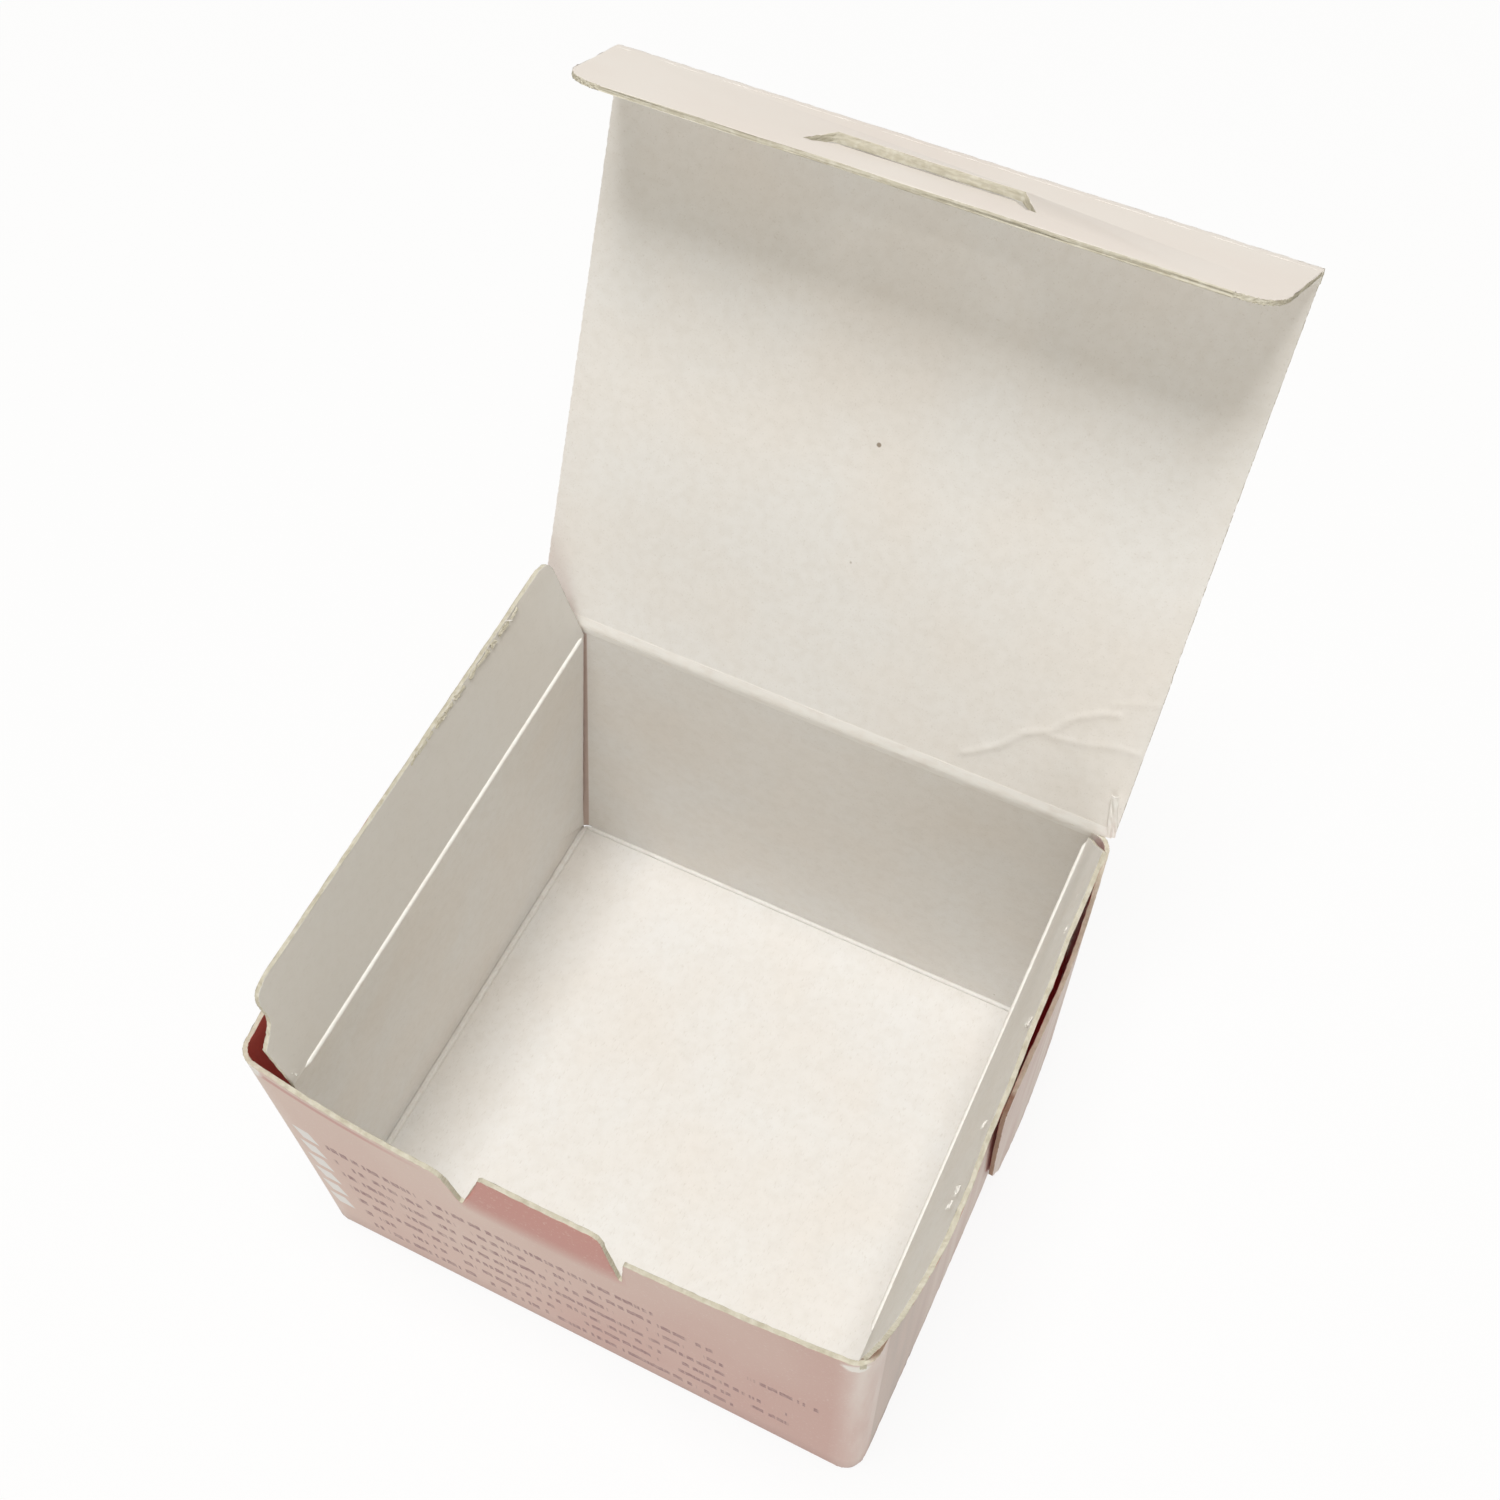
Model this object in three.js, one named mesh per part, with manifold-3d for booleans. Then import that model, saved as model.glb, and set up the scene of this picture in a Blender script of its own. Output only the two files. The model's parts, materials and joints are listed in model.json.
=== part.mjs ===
// A small folding carton of creased board, standing open: the tray with its four walls, the ears
// that lap round the corners, two raised dust flaps and a lock tab is one folded sheet. The lid
// turns on the crease at the back wall's top, and the tuck flap turns on the lid's far crease.
// Millimetres, X to the right, Y to the back, Z up, origin under the middle of the floor.
import * as THREE from 'three';
import { mergeVertices } from 'three/addons/utils/BufferGeometryUtils.js';
import Module from 'manifold-3d';

const wasm = await Module();
wasm.setup();

// Board and tray
const board = 0.5;
const trayWidth = 70.4;
const trayDepth = 62;
const trayHeight = 48.5;
const bottomBend = 0.8;
const cornerBend = 2.5;

// Front wall: it bows outward towards its top edge, most at bowPeak of the half width, and keeps
// these shares of the bow at its two ends. The powers say how flat the bow is, across and up.
const frontBow = 2.15;
const bowPeak = -0.1;
const bowLeftEnd = 0.25;
const bowRightEnd = 0.45;
const bowAcross = 2.5;
const bowUp = 1.5;

// Lock tab between two cuts in the front wall's top edge, bent inward. Left and right are where
// its sides meet their round corners; its foot is wider by the flares.
const tabDepth = 7.6;
const tabLeft = -6.7;
const tabRight = 7.2;
const tabLeftRound = 0.6;
const tabRightRound = 1.6;
const tabLeftFlare = 2.3;
const tabRightFlare = 1.5;
const tabPush = 1.25;
const tabCurl = 1.4;
const cutWidth = 0.4;
const cutLeftLean = 0.7;
const cutLeftRound = 1.9;
const cutRightLean = 0.9;
const cutRightRound = 0.3;

// Ears of the front and back walls, lapped outside the side walls
const frontEarLength = 42;
const frontEarSlant = 3;
const rearEarLength = 34;
const rearEarSlant = 8;
const earRise = 9;
const earCorner = 3;
const earLift = 0.2;
const earGap = 0.3;
const frontEarSpreadLeft = 0.8;
const frontEarSpreadRight = 0.3;
const rearEarSpread = 0.65;

// Side walls, free at both ends, leaning in at the top by these distances
const wallGap = 0.3;
const wallEndGap = 0.4;
const leftLeanBack = 4.7;
const leftLeanFront = 5.5;
const rightLeanBack = 1.5;
const rightLeanFront = 0.3;

// Dust flaps on the side walls' top creases; the flare is measured from level
const flapCrease = 0.8;
const flapFlare = 75;
const leftFlapHeight = 12.6;
const rightFlapHeight = 13.2;
const flapRound = 2;
const flapStep = 2.4;
const flapStepHeight = 6.4;
const rightFlapCut = 8.5;
const rightFlapSlope = 5;

// Lid and tuck flap; the angles are how far each is folded open at rest
const lidWidth = 70;
const lidLength = 62.6;
const lidOpen = 115.8;
const creaseGap = 0.3;
const tuckHeight = 14.2;
const tuckFold = 90;
const tuckCorner = 4.5;
const tuckTaper = 1;
const slitWidth = 18;
const slitHeight = 0.9;
const slitFromCrease = 7.2;
const slitFlare = 2.1;
const slitFlareRise = 3.2;

// Fineness of the bends and curves
const bendSteps = 4;
const cornerSteps = 6;
const curveSteps = 5;

const toRadians = THREE.MathUtils.degToRad;
const lerp = THREE.MathUtils.lerp;
const clamp = THREE.MathUtils.clamp;

const halfWidth = trayWidth / 2;
const halfDepth = trayDepth / 2;
const panelHalf = halfWidth - cornerBend;
const tabBase = trayHeight - tabDepth;
const tabFootLeft = tabLeft - tabLeftFlare;
const tabFootRight = tabRight + tabRightFlare;

function steps(from, to, count) {
  return Array.from({ length: count + 1 }, (_, i) => lerp(from, to, i / count));
}

// One piece of board: a box with a grid of columns and rows, whose every point is then folded
// to its place. place(column, row, outer) gives the point on the outer or the inner face.
function foldedBoard(columns, rows, place) {
  const box = new THREE.BoxGeometry(1, 1, 1, columns - 1, rows - 1, 1);
  const position = box.attributes.position;
  for (let i = 0; i < position.count; i++) {
    const column = Math.round((position.getX(i) + 0.5) * (columns - 1));
    const row = Math.round((position.getY(i) + 0.5) * (rows - 1));
    const point = place(column, row, position.getZ(i) > 0);
    position.setXYZ(i, point.x, point.y, point.z);
  }
  return box;
}

function closedMesh(geometry) {
  geometry.deleteAttribute('normal');
  geometry.deleteAttribute('uv');
  const merged = mergeVertices(geometry, 1e-5);
  const vertProperties = Float32Array.from(merged.attributes.position.array);
  const triVerts = Uint32Array.from(merged.index.array);
  return { vertProperties, triVerts };
}

// A solid for joining and cutting. Folding can turn a board inside out, so its volume is tested.
function solidOf(geometry) {
  const { vertProperties, triVerts } = closedMesh(geometry);
  const at = (index) => new THREE.Vector3().fromArray(vertProperties, index * 3);
  let volume = 0;
  for (let i = 0; i < triVerts.length; i += 3) {
    const normal = at(triVerts[i + 1]).cross(at(triVerts[i + 2]));
    volume += at(triVerts[i]).dot(normal);
  }
  if (volume < 0) triVerts.reverse();
  return new wasm.Manifold(new wasm.Mesh({ numProp: 3, vertProperties, triVerts }));
}

function geometryOf(solid) {
  const { vertProperties, triVerts } = solid.getMesh();
  const geometry = new THREE.BufferGeometry();
  geometry.setAttribute('position', new THREE.BufferAttribute(vertProperties, 3));
  geometry.setIndex(new THREE.BufferAttribute(triVerts, 1));
  geometry.computeVertexNormals();
  return geometry;
}

// Walks along a folded section from its start to a share of one segment. A segment is a straight
// run, or a bend where it has a turn. The heading is 0 when level and outward, 90 degrees when up.
function walkSection(start, segments, index, share) {
  let { across, height, heading } = start;
  for (let i = 0; i <= index; i++) {
    const part = i === index ? share : 1;
    const length = segments[i].length * part;
    const turn = segments[i].turn * part;
    if (turn === 0) {
      across += length * Math.cos(heading);
      height += length * Math.sin(heading);
    } else {
      const radius = length / turn;
      across += radius * (Math.sin(heading + turn) - Math.sin(heading));
      height += radius * (Math.cos(heading) - Math.cos(heading + turn));
      heading += turn;
    }
  }
  return { across, height, heading };
}

// The front wall's outer face: how far it bows outward at x and z
function bowAt(x, z) {
  const side = clamp(x / panelHalf, -1, 1);
  const leftLoss = (1 - bowLeftEnd) * Math.abs((bowPeak - side) / (bowPeak + 1)) ** bowAcross;
  const rightLoss = (1 - bowRightEnd) * Math.abs((side - bowPeak) / (1 - bowPeak)) ** bowAcross;
  const rise = (Math.max(z, 0) / trayHeight) ** bowUp;
  return frontBow * (1 - (side < bowPeak ? leftLoss : rightLoss)) * rise;
}

// How far the tab is pushed inward: nothing at its foot and outside it, a growing curve above
function tabPushAt(x, z) {
  if (x <= tabFootLeft || x >= tabFootRight || z <= tabBase) return 0;
  return tabPush * ((z - tabBase) / tabDepth) ** tabCurl;
}

// Top edge of the front wall where it rounds down into a cut, falling to the right from x, and
// its mirror image, which rises to the right up to x
function fallingRound(x, radius) {
  return steps(0, Math.PI / 2, curveSteps).map((angle) => (
    { x: x + radius * Math.sin(angle), top: trayHeight - radius * (1 - Math.cos(angle)) }
  ));
}

function risingRound(x, radius) {
  return fallingRound(-x, radius).map(({ x: mirrored, top }) => ({ x: -mirrored, top })).reverse();
}

// Columns of the front wall from left to right, each with the height of the top edge there
function frontColumns() {
  const level = (from, to, count) => steps(from, to, count).map((x) => ({ x, top: trayHeight }));
  const leftCut = tabFootLeft - cutWidth;
  const rightCut = tabFootRight + cutWidth;
  const leftWall = leftCut - cutLeftLean - cutLeftRound;
  const rightWall = rightCut + cutRightLean + cutRightRound;
  return [
    ...level(-panelHalf, leftWall, 6).slice(0, -1),
    ...fallingRound(leftWall, cutLeftRound),
    { x: leftCut, top: tabBase },
    { x: tabFootLeft, top: tabBase },
    ...risingRound(tabLeft + tabLeftRound, tabLeftRound),
    ...level(tabLeft + tabLeftRound, tabRight - tabRightRound, 3).slice(1, -1),
    ...fallingRound(tabRight - tabRightRound, tabRightRound),
    { x: tabFootRight, top: tabBase },
    { x: rightCut, top: tabBase },
    ...risingRound(rightWall, cutRightRound),
    ...level(rightWall, panelHalf, 6).slice(1),
  ];
}

// Heights of the rows on a front or back wall, from the bottom bend to its top edge
function wallHeights(top) {
  const lower = steps(bottomBend, tabBase - cutWidth, curveSteps);
  return [...lower, ...steps(tabBase - cutWidth, top, curveSteps).slice(1)];
}

// Floor, bottom bend and one of the walls that face front or back. faceOut gives how far the
// outer face stands outward of its plane.
function facingWall(columns, side, faceOut) {
  const bend = steps(0, Math.PI / 2, bendSteps);
  const rows = bend.length + wallHeights(trayHeight).length;
  return solidOf(foldedBoard(columns.length, rows, (column, row, outer) => {
    const { x, top } = columns[column];
    const inward = outer ? 0 : board;
    if (row === 0) return new THREE.Vector3(x, 0, inward);
    if (row <= bend.length) {
      const angle = bend[row - 1];
      const radius = bottomBend - inward;
      const centre = halfDepth - bottomBend + faceOut(x, bottomBend) * Math.sin(angle);
      const y = side * (centre + radius * Math.sin(angle));
      return new THREE.Vector3(x, y, bottomBend - radius * Math.cos(angle));
    }
    const z = wallHeights(top)[row - bend.length];
    return new THREE.Vector3(x, side * (halfDepth + faceOut(x, z) - inward), z);
  }));
}

// Corner bend and ear of a front or back wall. The ear's free end slants back towards its foot,
// its lower edge rises, and both its corners are round.
function ear(sideX, sideY, { length, slant, faceOut, spreadAt }) {
  const heights = wallHeights(trayHeight);
  const bend = steps(0, Math.PI / 2, cornerSteps);
  const straight = steps(0, 1, 2 * curveSteps).slice(1);
  const reach = length - cornerBend;
  return solidOf(foldedBoard(heights.length, bend.length + straight.length, (column, row, outer) => {
    const level = heights[column];
    const inward = outer ? 0 : board;
    const radius = cornerBend - inward;
    const out = faceOut(sideX * panelHalf, level);
    if (row < bend.length) {
      const angle = bend[row];
      const x = sideX * (panelHalf + radius * Math.sin(angle));
      const y = sideY * (halfDepth - cornerBend + out + radius * Math.cos(angle));
      return new THREE.Vector3(x, y, level + (row / bend.length) * earLift * (1 - level / trayHeight));
    }
    const up = (level - bottomBend) / (trayHeight - bottomBend);
    const fromCorner = Math.min(trayHeight - level, level - bottomBend, earCorner);
    const round = earCorner - Math.sqrt(earCorner ** 2 - (earCorner - fromCorner) ** 2);
    const end = reach - slant * (1 - up) - round;
    const along = straight[row - bend.length] * end;
    const lower = bottomBend + earLift + earRise * (along / reach) ** 2;
    const z = lerp(lower, trayHeight, up);
    const x = sideX * (panelHalf + radius + spreadAt(along / reach, z / trayHeight));
    return new THREE.Vector3(x, sideY * (halfDepth - cornerBend + out - along), z);
  }));
}

// A front ear bulges a little at the top behind its corner
function frontEarSpread(spread) {
  return (along, up) => spread * Math.sin(Math.PI * Math.min(along * 1.6, 1)) * up ** 2;
}

// A rear ear steps out past the front ear that it covers, and bulges at the top
function rearEarOut(along, up) {
  const step = (board + earGap) * Math.sin((Math.PI / 2) * Math.min(along * 1.8, 1));
  return step + rearEarSpread * Math.sin((Math.PI / 2) * Math.min(along * 1.5, 1)) * up ** 2;
}

// Rows across a side wall's board are shares of the distance between its front and back ends
const sideRows = steps(0, 1, 8);

// A side wall with its dust flap: floor, bottom bend, leaning wall, top crease and flap.
// flapEnds(height) gives how far the flap's front and back ends stand in from the wall's ends.
function sideWall(sideX, leanFront, leanBack, flapHeight, flapStations, flapEnds) {
  const footOut = halfWidth - board - wallGap;
  const middle = board / 2;
  const wallLength = trayHeight - 2 * bottomBend;
  const stations = [
    [0, [0, 1]],
    [1, steps(0, 1, bendSteps).slice(1)],
    [2, steps(0, 1, 6).slice(1)],
    [3, steps(0, 1, bendSteps).slice(1)],
    [4, flapStations.slice(1)],
  ].flatMap(([segment, shares]) => shares.map((share) => ({ segment, share })));
  const startAt = { across: 0, height: middle, heading: 0 };
  const flare = toRadians(flapFlare);
  const segmentsFor = (lean) => {
    const wallHeading = Math.PI / 2 + Math.asin(lean / wallLength);
    const bendRadius = bottomBend - middle;
    const creaseRadius = flapCrease - middle;
    return [
      { length: footOut - bottomBend, turn: 0 },
      { length: bendRadius * wallHeading, turn: wallHeading },
      { length: wallLength, turn: 0 },
      { length: creaseRadius * (wallHeading - flare), turn: flare - wallHeading },
      { length: flapHeight, turn: 0 },
    ];
  };
  return solidOf(foldedBoard(stations.length, sideRows.length, (column, row, outer) => {
    const { segment, share } = stations[column];
    const ends = segment === 4 ? flapEnds(share * flapHeight) : { front: 0, back: 0 };
    const atFront = walkSection(startAt, segmentsFor(leanFront), segment, share);
    const clear = board + wallEndGap;
    const bowed = bowAt(sideX * atFront.across, Math.min(atFront.height, trayHeight));
    const front = -(halfDepth - clear + (segment > 1 ? bowed : 0) - ends.front);
    const back = halfDepth - clear - ends.back;
    const y = lerp(front, back, sideRows[row]);
    const lean = lerp(leanFront, leanBack, (y + halfDepth) / trayDepth);
    const point = walkSection(startAt, segmentsFor(lean), segment, share);
    const offset = outer ? middle : -middle;
    const across = point.across + offset * Math.sin(point.heading);
    return new THREE.Vector3(sideX * across, y, point.height - offset * Math.cos(point.heading));
  }));
}

// Left flap: a square back end with a round corner, and a stepped front end with a round corner
function leftFlapEnds(height) {
  const fromTop = Math.min(leftFlapHeight - height, flapRound);
  const round = flapRound - Math.sqrt(flapRound ** 2 - (flapRound - fromTop) ** 2);
  const above = clamp((height - flapStepHeight) / flapStep, 0, 1);
  return { front: flapStep * Math.sin((above * Math.PI) / 2) + round, back: round };
}

// Right flap: a cut-away back end and a sloping front end with a wide round shoulder
function rightFlapEnds(height) {
  const up = height / rightFlapHeight;
  return { front: rightFlapSlope * (0.6 * up + 1.4 * up ** 4), back: rightFlapCut * up };
}

function trayGeometry() {
  const columns = frontColumns();
  const flat = () => 0;
  const leftFlapStations = [
    ...steps(0, flapStepHeight / leftFlapHeight, 2),
    ...steps(flapStepHeight / leftFlapHeight, 1 - flapRound / leftFlapHeight, curveSteps).slice(1),
    ...steps(1 - flapRound / leftFlapHeight, 1, curveSteps).slice(1),
  ];
  const rightFlapStations = steps(0, 1, 2 * curveSteps);
  const backColumns = steps(-panelHalf, panelHalf, 2).map((x) => ({ x, top: trayHeight }));
  const frontOut = (x, z) => bowAt(x, z) - tabPushAt(x, z);
  const frontEar = { length: frontEarLength, slant: frontEarSlant, faceOut: bowAt };
  const rearEar = { length: rearEarLength, slant: rearEarSlant, faceOut: flat, spreadAt: rearEarOut };
  const parts = [
    facingWall(columns, -1, frontOut),
    facingWall(backColumns, 1, flat),
    ear(-1, -1, { ...frontEar, spreadAt: frontEarSpread(frontEarSpreadLeft) }),
    ear(1, -1, { ...frontEar, spreadAt: frontEarSpread(frontEarSpreadRight) }),
    ear(-1, 1, rearEar),
    ear(1, 1, rearEar),
    sideWall(-1, leftLeanFront, leftLeanBack, leftFlapHeight, leftFlapStations, leftFlapEnds),
    sideWall(1, rightLeanFront, rightLeanBack, rightFlapHeight, rightFlapStations, rightFlapEnds),
  ];
  return geometryOf(parts.reduce((joined, part) => joined.add(part)));
}

// The lid lies flat in its own frame: X across, Y away from its crease, the outer face at Z = 0
// and the inner face above it. It turns on the outer face's near edge.
function lidGeometry() {
  const outline = new THREE.Shape();
  outline.moveTo(-lidWidth / 2, creaseGap);
  outline.lineTo(lidWidth / 2, creaseGap);
  outline.lineTo(lidWidth / 2, lidLength);
  outline.lineTo(-lidWidth / 2, lidLength);
  outline.closePath();
  return new THREE.ExtrudeGeometry(outline, { depth: board, bevelEnabled: false });
}

// The tuck flap tapers to two round corners and has a slit for the tab, with flared ends. It
// lies flat in its own frame as the lid does, and turns on the inner face's near edge.
function tuckGeometry() {
  const half = lidWidth / 2;
  const far = half - tuckTaper;
  const start = creaseGap;
  const outline = new THREE.Shape();
  outline.moveTo(-half, start);
  outline.lineTo(half, start);
  outline.lineTo(far, tuckHeight - tuckCorner);
  outline.quadraticCurveTo(far, tuckHeight, far - tuckCorner, tuckHeight);
  outline.lineTo(tuckCorner - far, tuckHeight);
  outline.quadraticCurveTo(-far, tuckHeight, -far, tuckHeight - tuckCorner);
  outline.closePath();
  const slit = new THREE.Path();
  const end = slitWidth / 2;
  const flareTop = slitFromCrease + slitFlareRise;
  slit.moveTo(-end, slitFromCrease);
  slit.lineTo(end, slitFromCrease);
  slit.lineTo(end + slitFlare, flareTop);
  slit.lineTo(end + slitFlare - slitHeight, flareTop);
  slit.lineTo(end - slitHeight / 2, slitFromCrease + slitHeight);
  slit.lineTo(slitHeight / 2 - end, slitFromCrease + slitHeight);
  slit.lineTo(slitHeight - end - slitFlare, flareTop);
  slit.lineTo(-end - slitFlare, flareTop);
  slit.closePath();
  outline.holes.push(slit);
  const flap = new THREE.ExtrudeGeometry(outline, { depth: board, bevelEnabled: false, curveSegments: 8 });
  return flap.translate(0, 0, -board);
}

function material(colour, roughness) {
  return new THREE.MeshStandardMaterial({ color: colour, roughness, metalness: 0 });
}

function named(name, geometry, finish) {
  const mesh = new THREE.Mesh(geometry, finish);
  mesh.name = name;
  return mesh;
}

const printedBoard = material(0xd6bbb0, 0.6);
const plainBoard = material(0xe8e6de, 0.8);
const paleBoard = material(0xeee8e3, 0.7);

const carton = new THREE.Group();
carton.add(named('carton_tray', trayGeometry(), printedBoard));

// The lid's hinge line is the top edge of the back wall's outer face. Folded open by lidOpen from
// its closed, level place, the lid's inner face looks forward and down.
const lidHinge = new THREE.Group();
lidHinge.position.set(0, halfDepth, trayHeight);
lidHinge.rotation.x = toRadians(180 - lidOpen);
const lid = named('lid_panel', lidGeometry(), plainBoard);
lidHinge.add(lid);
carton.add(lidHinge);

// The tuck flap's hinge line is the far edge of the lid's inner face
const tuckHinge = new THREE.Group();
tuckHinge.position.set(0, lidLength, board);
tuckHinge.rotation.x = toRadians(tuckFold);
const tuck = named('tuck_flap', tuckGeometry(), paleBoard);
tuckHinge.add(tuck);
lidHinge.add(tuckHinge);

export default carton;
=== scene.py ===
"""The candy box in its finished look: creased board, worn edges, print, floor and light."""

import json
import math
import random

import bmesh
import bpy
from mathutils import Matrix, Vector
from mathutils.bvhtree import BVHTree

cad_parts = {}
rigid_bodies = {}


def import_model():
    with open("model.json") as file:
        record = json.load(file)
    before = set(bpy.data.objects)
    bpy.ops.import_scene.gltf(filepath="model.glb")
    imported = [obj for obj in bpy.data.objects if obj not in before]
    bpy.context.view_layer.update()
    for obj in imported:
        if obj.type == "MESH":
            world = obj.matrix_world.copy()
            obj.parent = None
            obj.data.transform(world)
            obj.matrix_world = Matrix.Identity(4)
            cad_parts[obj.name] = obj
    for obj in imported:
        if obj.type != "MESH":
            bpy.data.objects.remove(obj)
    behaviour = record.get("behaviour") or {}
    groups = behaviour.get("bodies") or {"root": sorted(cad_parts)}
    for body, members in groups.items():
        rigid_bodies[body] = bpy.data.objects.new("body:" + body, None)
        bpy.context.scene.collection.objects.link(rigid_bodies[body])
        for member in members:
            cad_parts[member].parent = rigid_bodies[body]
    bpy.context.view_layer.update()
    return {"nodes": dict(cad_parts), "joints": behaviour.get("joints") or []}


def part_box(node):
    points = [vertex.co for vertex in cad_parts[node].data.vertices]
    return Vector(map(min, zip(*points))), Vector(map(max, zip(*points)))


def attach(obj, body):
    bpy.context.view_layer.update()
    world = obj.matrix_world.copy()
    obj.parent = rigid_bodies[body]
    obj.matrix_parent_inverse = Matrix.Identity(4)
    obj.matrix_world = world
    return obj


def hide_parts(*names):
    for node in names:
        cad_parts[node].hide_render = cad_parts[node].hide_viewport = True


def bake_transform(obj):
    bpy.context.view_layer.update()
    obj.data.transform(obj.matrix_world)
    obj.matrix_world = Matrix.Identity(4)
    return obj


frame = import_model()

bl_info = {
    "name": "Candy Box",
    "version": (1, 0, 0),
    "blender": (4, 5, 0),
    "location": "3D View > Sidebar > Candy Box",
    "description": "A small folding carton of creased board, standing open",
    "category": "Object",
}

MM = 0.001

# Where the hinge lines lie, read from the frame
hinges = {joint["name"]: joint for joint in frame["joints"]}
lid_line = Vector(hinges["lid_hinge"]["pos_m"])
lid_low, lid_high = (Vector(corner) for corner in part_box("lid_panel"))

# The dust flaps' creases, on top of the side walls, and how steeply the flaps stand
flap_crease_height = 47.6 * MM
left_flap_crease = -28.85 * MM
right_flap_crease = 33.0 * MM
flap_flare = math.radians(75)

# The right dust flap leans in a little, a step more at each of these heights and places along it
lean_heights = (49.8 * MM, 51.0 * MM, 52.3 * MM, 53.6 * MM, 54.8 * MM)
lean_places = (-12 * MM, -2 * MM, 8 * MM)
lean_step = 0.045 * MM

# The lid's wrinkles near its right hinge end: places across and along the lid, in millimetres
wrinkles = [
    [(17.0, 3.2), (20.3, 5.6), (22.4, 8.2), (25.0, 9.6), (26.8, 12.0), (29.4, 13.7), (31.0, 14.2)],
    [(25.1, 9.0), (29.2, 9.7), (32.5, 10.7), (34.4, 10.8)],
    [(30.0, 15.2), (35.0, 17.2)],
]

# The rows of the print on the front wall: the top of the first, and the step from row to row
rows_top = 33.4 * MM
row_pitch = 4.45 * MM
bar_count = 6
row_ends = [11.5 * MM, 18 * MM, 30 * MM, 19 * MM, 26.5 * MM, 26.5 * MM, 20 * MM]
longest_row = 40 * MM

# Shades that are mixed into the finishes, as linear colours
mottle_shade = (0.72, 0.68, 0.62, 1)
fibre_shade = (0.62, 0.58, 0.52, 1)
speck_shade = (0.36, 0.3, 0.24, 1)
# Painted shade for the left dust flap
painted_flap_shade = (0.62, 0.6, 0.56, 1)
# Reddish brown for a band in the back left corner
corner_band_colour = (0.45, 0.23, 0.17, 1)
ply_shade = (0.57, 0.53, 0.42, 1)
fluff_shade = (0.84, 0.82, 0.74, 1)
# Painted shade for the right ears' top edges
painted_ear_edge_shade = (0.3, 0.14, 0.09, 1)
# Painted shade along the foot of the walls
painted_foot_shade = (0.3, 0.13, 0.11, 1)
pale_grain_shade = (0.9, 0.88, 0.86, 1)
deep_grain_shade = (0.6, 0.22, 0.19, 1)
# Painted glow for the side gaps
painted_gap_glow = (1, 0.06, 0.09, 1)


class CartonSizes(bpy.types.PropertyGroup):
    """Sizes of the board and of its worn details"""

    board: bpy.props.FloatProperty(
        name="Board", description="Thickness of the folding board",
        default=0.5 * MM, unit="LENGTH", subtype="DISTANCE")
    lid_length: bpy.props.FloatProperty(
        name="Lid length", description="From the back crease to the lid's far crease",
        default=62.6 * MM, unit="LENGTH", subtype="DISTANCE")
    lid_width: bpy.props.FloatProperty(
        name="Lid width", description="Across the lid and the tuck flap",
        default=lid_high.x - lid_low.x, unit="LENGTH", subtype="DISTANCE")
    lid_rise: bpy.props.FloatProperty(
        name="Lid rise", description="Angle of the open lid above level, behind the back wall",
        default=math.radians(64.2), unit="ROTATION", subtype="ANGLE")
    fraying: bpy.props.FloatProperty(
        name="Fraying", description="How far the cut edges of the board stray from a straight line",
        default=0.035 * MM, unit="LENGTH", subtype="DISTANCE")
    wrinkle_height: bpy.props.FloatProperty(
        name="Wrinkle height", description="How far the lid's wrinkles stand up",
        default=0.2 * MM, unit="LENGTH", subtype="DISTANCE")
    bead: bpy.props.FloatProperty(
        name="Bead", description="Radius of the raised bead that a crease leaves inside the carton",
        default=0.3 * MM, unit="LENGTH", subtype="DISTANCE")


def colour_property(name, description, red, green, blue):
    linear = [((part / 255 + 0.055) / 1.055) ** 2.4 for part in (red, green, blue)]
    return bpy.props.FloatVectorProperty(
        name=name, description=description, size=3, subtype="COLOR", min=0, max=1, default=linear)


class CartonColours(bpy.types.PropertyGroup):
    """Colours of the board and its print"""

    bare: colour_property("Bare board", "Uncoated inside of the board", 244, 243, 241)
    bare_warm: colour_property("Bare board, warm", "Warmer patches of the bare inside", 243, 239, 234)
    raw: colour_property("Raw edge", "Cut edge of the board", 224, 220, 204)
    crease: colour_property("Crease", "Worn board along a crease", 251, 250, 247)
    pink: colour_property("Pink", "Print on the front wall, at its top left", 226, 203, 193)
    rose: colour_property("Rose", "Print on the front wall, at its lower right", 209, 172, 163)
    tab: colour_property("Tab", "Print on the lock tab and along the rim", 205, 150, 142)
    bars: colour_property("Bars", "Slanted bars of the print", 242, 240, 240)
    dashes: colour_property("Dashes", "Broken lines of the print", 148, 104, 104)
    blush: colour_property("Blush", "Pale print on the lid and the tuck flap", 246, 241, 237)
    grey: colour_property("Grey", "Streaked print on the rear ears", 196, 184, 178)
    # Deep red in the side gaps: partly print on the side walls' outer faces, partly painted red shade on the
    # ears' bare inner faces
    gap_print_and_shade: colour_property("Lining", "Deep red print turned into the side gaps", 216, 134, 122)
    floor: colour_property("Floor", "The surface that the carton stands on", 250, 250, 250)


def sizes():
    return bpy.context.scene.carton_sizes


def colours():
    return bpy.context.scene.carton_colours


# Selecting and editing


def deselect_all():
    active = bpy.context.view_layer.objects.active
    if active and active.mode != "OBJECT":
        bpy.ops.object.mode_set(mode="OBJECT")
    bpy.ops.object.select_all(action="DESELECT")


def only(piece):
    deselect_all()
    piece.select_set(True)
    bpy.context.view_layer.objects.active = piece


def edit(piece, kind="VERT"):
    only(piece)
    bpy.ops.object.mode_set(mode="EDIT")
    bpy.ops.mesh.select_mode(type=kind)
    bpy.ops.mesh.select_all(action="DESELECT")


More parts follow.
